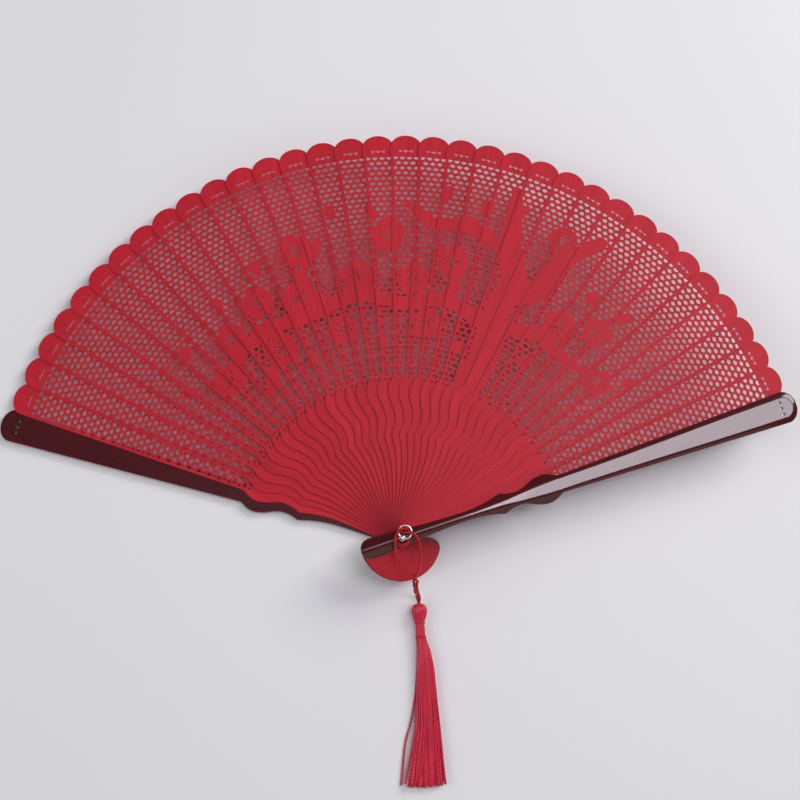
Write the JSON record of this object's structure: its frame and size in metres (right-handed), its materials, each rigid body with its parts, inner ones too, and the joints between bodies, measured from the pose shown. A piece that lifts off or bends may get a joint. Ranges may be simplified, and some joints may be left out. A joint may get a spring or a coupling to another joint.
{
  "type": "folding hand fan",
  "caption": "Hand fan of thin pierced wooden leaves between two lacquered guards that fold on one rivet, with a ring and a corded tassel.",
  "frame": {"origin": "on the rivet's axis, at the flat end of the rivet, flush with the ridge of the back guard that the fan lies on", "axes": "+Z along the rivet, up from the back guard to the front guard; +Y halves the open fan, from the rivet to the tips; +X towards the front guard's side"},
  "size_m": [0.366, 0.3026, 0.0317],
  "materials": {
    "dyed_wood": "thin sandalwood dyed red, satin, grain along the leaf",
    "lacquered_wood": "dark burgundy gloss lacquer outside, matt stain inside",
    "steel": "bright polished",
    "cord": "twisted red silk cord",
    "yarn": "loose crimson silk yarn with a soft sheen"
  },
  "bodies": {
    "back_guard": {"back_guard": "lacquered_wood"},
    "leaf_01": {"leaf_01": "dyed_wood"},
    "leaf_02": {"leaf_02": "dyed_wood"},
    "leaf_03": {"leaf_03": "dyed_wood"},
    "leaf_04": {"leaf_04": "dyed_wood"},
    "leaf_05": {"leaf_05": "dyed_wood"},
    "leaf_06": {"leaf_06": "dyed_wood"},
    "leaf_07": {"leaf_07": "dyed_wood"},
    "leaf_08": {"leaf_08": "dyed_wood"},
    "leaf_09": {"leaf_09": "dyed_wood"},
    "leaf_10": {"leaf_10": "dyed_wood"},
    "leaf_11": {"leaf_11": "dyed_wood"},
    "leaf_12": {"leaf_12": "dyed_wood"},
    "leaf_13": {"leaf_13": "dyed_wood"},
    "leaf_14": {"leaf_14": "dyed_wood"},
    "leaf_15": {"leaf_15": "dyed_wood"},
    "leaf_16": {"leaf_16": "dyed_wood"},
    "leaf_17": {"leaf_17": "dyed_wood"},
    "leaf_18": {"leaf_18": "dyed_wood"},
    "leaf_19": {"leaf_19": "dyed_wood"},
    "leaf_20": {"leaf_20": "dyed_wood"},
    "leaf_21": {"leaf_21": "dyed_wood"},
    "leaf_22": {"leaf_22": "dyed_wood"},
    "leaf_23": {"leaf_23": "dyed_wood"},
    "leaf_24": {"leaf_24": "dyed_wood"},
    "leaf_25": {"leaf_25": "dyed_wood"},
    "leaf_26": {"leaf_26": "dyed_wood"},
    "leaf_27": {"leaf_27": "dyed_wood"},
    "leaf_28": {"leaf_28": "dyed_wood"},
    "leaf_29": {"leaf_29": "dyed_wood"},
    "leaf_30": {"leaf_30": "dyed_wood"},
    "leaf_31": {"leaf_31": "dyed_wood"},
    "leaf_32": {"leaf_32": "dyed_wood"},
    "leaf_33": {"leaf_33": "dyed_wood"},
    "leaf_34": {"leaf_34": "dyed_wood"},
    "front_guard": {"front_guard": "lacquered_wood"},
    "rivet": {"rivet_pin": "steel", "rivet_eye": "steel", "ring": "steel", "tassel_cord": "cord", "cord_knot": "cord", "cord_stem": "cord", "tassel_head": "yarn", "tassel_band": "cord", "tassel_skirt": "yarn"}
  },
  "joints": [
    {"name": "fan_close", "type": "hinge", "parent": "back_guard", "child": "front_guard", "pos_m": [0, 0, 0], "axis": [0, 0, 1], "range_deg": [0, 145]},
    {"name": "leaf_01_turn", "type": "hinge", "parent": "back_guard", "child": "leaf_01", "pos_m": [0, 0, 0], "axis": [0, 0, 1], "range_deg": [0, 4.15]},
    {"name": "leaf_02_turn", "type": "hinge", "parent": "back_guard", "child": "leaf_02", "pos_m": [0, 0, 0], "axis": [0, 0, 1], "range_deg": [0, 8.3]},
    {"name": "leaf_03_turn", "type": "hinge", "parent": "back_guard", "child": "leaf_03", "pos_m": [0, 0, 0], "axis": [0, 0, 1], "range_deg": [0, 12.44]},
    {"name": "leaf_04_turn", "type": "hinge", "parent": "back_guard", "child": "leaf_04", "pos_m": [0, 0, 0], "axis": [0, 0, 1], "range_deg": [0, 16.58]},
    {"name": "leaf_05_turn", "type": "hinge", "parent": "back_guard", "child": "leaf_05", "pos_m": [0, 0, 0], "axis": [0, 0, 1], "range_deg": [0, 20.72]},
    {"name": "leaf_06_turn", "type": "hinge", "parent": "back_guard", "child": "leaf_06", "pos_m": [0, 0, 0], "axis": [0, 0, 1], "range_deg": [0, 24.87]},
    {"name": "leaf_07_turn", "type": "hinge", "parent": "back_guard", "child": "leaf_07", "pos_m": [0, 0, 0], "axis": [0, 0, 1], "range_deg": [0, 29.01]},
    {"name": "leaf_08_turn", "type": "hinge", "parent": "back_guard", "child": "leaf_08", "pos_m": [0, 0, 0], "axis": [0, 0, 1], "range_deg": [0, 33.15]},
    {"name": "leaf_09_turn", "type": "hinge", "parent": "back_guard", "child": "leaf_09", "pos_m": [0, 0, 0], "axis": [0, 0, 1], "range_deg": [0, 37.3]},
    {"name": "leaf_10_turn", "type": "hinge", "parent": "back_guard", "child": "leaf_10", "pos_m": [0, 0, 0], "axis": [0, 0, 1], "range_deg": [0, 41.44]},
    {"name": "leaf_11_turn", "type": "hinge", "parent": "back_guard", "child": "leaf_11", "pos_m": [0, 0, 0], "axis": [0, 0, 1], "range_deg": [0, 45.58]},
    {"name": "leaf_12_turn", "type": "hinge", "parent": "back_guard", "child": "leaf_12", "pos_m": [0, 0, 0], "axis": [0, 0, 1], "range_deg": [0, 49.72]},
    {"name": "leaf_13_turn", "type": "hinge", "parent": "back_guard", "child": "leaf_13", "pos_m": [0, 0, 0], "axis": [0, 0, 1], "range_deg": [0, 53.87]},
    {"name": "leaf_14_turn", "type": "hinge", "parent": "back_guard", "child": "leaf_14", "pos_m": [0, 0, 0], "axis": [0, 0, 1], "range_deg": [0, 58.01]},
    {"name": "leaf_15_turn", "type": "hinge", "parent": "back_guard", "child": "leaf_15", "pos_m": [0, 0, 0], "axis": [0, 0, 1], "range_deg": [0, 62.15]},
    {"name": "leaf_16_turn", "type": "hinge", "parent": "back_guard", "child": "leaf_16", "pos_m": [0, 0, 0], "axis": [0, 0, 1], "range_deg": [0, 66.3]},
    {"name": "leaf_17_turn", "type": "hinge", "parent": "back_guard", "child": "leaf_17", "pos_m": [0, 0, 0], "axis": [0, 0, 1], "range_deg": [0, 70.44]},
    {"name": "leaf_18_turn", "type": "hinge", "parent": "back_guard", "child": "leaf_18", "pos_m": [0, 0, 0], "axis": [0, 0, 1], "range_deg": [0, 74.58]},
    {"name": "leaf_19_turn", "type": "hinge", "parent": "back_guard", "child": "leaf_19", "pos_m": [0, 0, 0], "axis": [0, 0, 1], "range_deg": [0, 78.72]},
    {"name": "leaf_20_turn", "type": "hinge", "parent": "back_guard", "child": "leaf_20", "pos_m": [0, 0, 0], "axis": [0, 0, 1], "range_deg": [0, 82.87]},
    {"name": "leaf_21_turn", "type": "hinge", "parent": "back_guard", "child": "leaf_21", "pos_m": [0, 0, 0], "axis": [0, 0, 1], "range_deg": [0, 87.01]},
    {"name": "leaf_22_turn", "type": "hinge", "parent": "back_guard", "child": "leaf_22", "pos_m": [0, 0, 0], "axis": [0, 0, 1], "range_deg": [0, 91.15]},
    {"name": "leaf_23_turn", "type": "hinge", "parent": "back_guard", "child": "leaf_23", "pos_m": [0, 0, 0], "axis": [0, 0, 1], "range_deg": [0, 95.3]},
    {"name": "leaf_24_turn", "type": "hinge", "parent": "back_guard", "child": "leaf_24", "pos_m": [0, 0, 0], "axis": [0, 0, 1], "range_deg": [0, 99.44]},
    {"name": "leaf_25_turn", "type": "hinge", "parent": "back_guard", "child": "leaf_25", "pos_m": [0, 0, 0], "axis": [0, 0, 1], "range_deg": [0, 103.58]},
    {"name": "leaf_26_turn", "type": "hinge", "parent": "back_guard", "child": "leaf_26", "pos_m": [0, 0, 0], "axis": [0, 0, 1], "range_deg": [0, 107.72]},
    {"name": "leaf_27_turn", "type": "hinge", "parent": "back_guard", "child": "leaf_27", "pos_m": [0, 0, 0], "axis": [0, 0, 1], "range_deg": [0, 111.87]},
    {"name": "leaf_28_turn", "type": "hinge", "parent": "back_guard", "child": "leaf_28", "pos_m": [0, 0, 0], "axis": [0, 0, 1], "range_deg": [0, 116.01]},
    {"name": "leaf_29_turn", "type": "hinge", "parent": "back_guard", "child": "leaf_29", "pos_m": [0, 0, 0], "axis": [0, 0, 1], "range_deg": [0, 120.15]},
    {"name": "leaf_30_turn", "type": "hinge", "parent": "back_guard", "child": "leaf_30", "pos_m": [0, 0, 0], "axis": [0, 0, 1], "range_deg": [0, 124.3]},
    {"name": "leaf_31_turn", "type": "hinge", "parent": "back_guard", "child": "leaf_31", "pos_m": [0, 0, 0], "axis": [0, 0, 1], "range_deg": [0, 128.44]},
    {"name": "leaf_32_turn", "type": "hinge", "parent": "back_guard", "child": "leaf_32", "pos_m": [0, 0, 0], "axis": [0, 0, 1], "range_deg": [0, 132.58]},
    {"name": "leaf_33_turn", "type": "hinge", "parent": "back_guard", "child": "leaf_33", "pos_m": [0, 0, 0], "axis": [0, 0, 1], "range_deg": [0, 136.72]},
    {"name": "leaf_34_turn", "type": "hinge", "parent": "back_guard", "child": "leaf_34", "pos_m": [0, 0, 0], "axis": [0, 0, 1], "range_deg": [0, 140.87]},
    {"name": "tassel_swing", "type": "hinge", "parent": "back_guard", "child": "rivet", "pos_m": [0, 0, 0], "axis": [0, 0, 1], "range_deg": [-45, 45]}
  ],
  "couplings": [
    {"joint": "leaf_01_turn", "follows": "fan_close", "ratio": 0.028571},
    {"joint": "leaf_02_turn", "follows": "fan_close", "ratio": 0.057143},
    {"joint": "leaf_03_turn", "follows": "fan_close", "ratio": 0.085714},
    {"joint": "leaf_04_turn", "follows": "fan_close", "ratio": 0.11429},
    {"joint": "leaf_05_turn", "follows": "fan_close", "ratio": 0.14286},
    {"joint": "leaf_06_turn", "follows": "fan_close", "ratio": 0.17143},
    {"joint": "leaf_07_turn", "follows": "fan_close", "ratio": 0.2},
    {"joint": "leaf_08_turn", "follows": "fan_close", "ratio": 0.22857},
    {"joint": "leaf_09_turn", "follows": "fan_close", "ratio": 0.25714},
    {"joint": "leaf_10_turn", "follows": "fan_close", "ratio": 0.28571},
    {"joint": "leaf_11_turn", "follows": "fan_close", "ratio": 0.31429},
    {"joint": "leaf_12_turn", "follows": "fan_close", "ratio": 0.34286},
    {"joint": "leaf_13_turn", "follows": "fan_close", "ratio": 0.37143},
    {"joint": "leaf_14_turn", "follows": "fan_close", "ratio": 0.4},
    {"joint": "leaf_15_turn", "follows": "fan_close", "ratio": 0.42857},
    {"joint": "leaf_16_turn", "follows": "fan_close", "ratio": 0.45714},
    {"joint": "leaf_17_turn", "follows": "fan_close", "ratio": 0.48571},
    {"joint": "leaf_18_turn", "follows": "fan_close", "ratio": 0.51429},
    {"joint": "leaf_19_turn", "follows": "fan_close", "ratio": 0.54286},
    {"joint": "leaf_20_turn", "follows": "fan_close", "ratio": 0.57143},
    {"joint": "leaf_21_turn", "follows": "fan_close", "ratio": 0.6},
    {"joint": "leaf_22_turn", "follows": "fan_close", "ratio": 0.62857},
    {"joint": "leaf_23_turn", "follows": "fan_close", "ratio": 0.65714},
    {"joint": "leaf_24_turn", "follows": "fan_close", "ratio": 0.68571},
    {"joint": "leaf_25_turn", "follows": "fan_close", "ratio": 0.71429},
    {"joint": "leaf_26_turn", "follows": "fan_close", "ratio": 0.74286},
    {"joint": "leaf_27_turn", "follows": "fan_close", "ratio": 0.77143},
    {"joint": "leaf_28_turn", "follows": "fan_close", "ratio": 0.8},
    {"joint": "leaf_29_turn", "follows": "fan_close", "ratio": 0.82857},
    {"joint": "leaf_30_turn", "follows": "fan_close", "ratio": 0.85714},
    {"joint": "leaf_31_turn", "follows": "fan_close", "ratio": 0.88571},
    {"joint": "leaf_32_turn", "follows": "fan_close", "ratio": 0.91429},
    {"joint": "leaf_33_turn", "follows": "fan_close", "ratio": 0.94286},
    {"joint": "leaf_34_turn", "follows": "fan_close", "ratio": 0.97143}
  ]
}
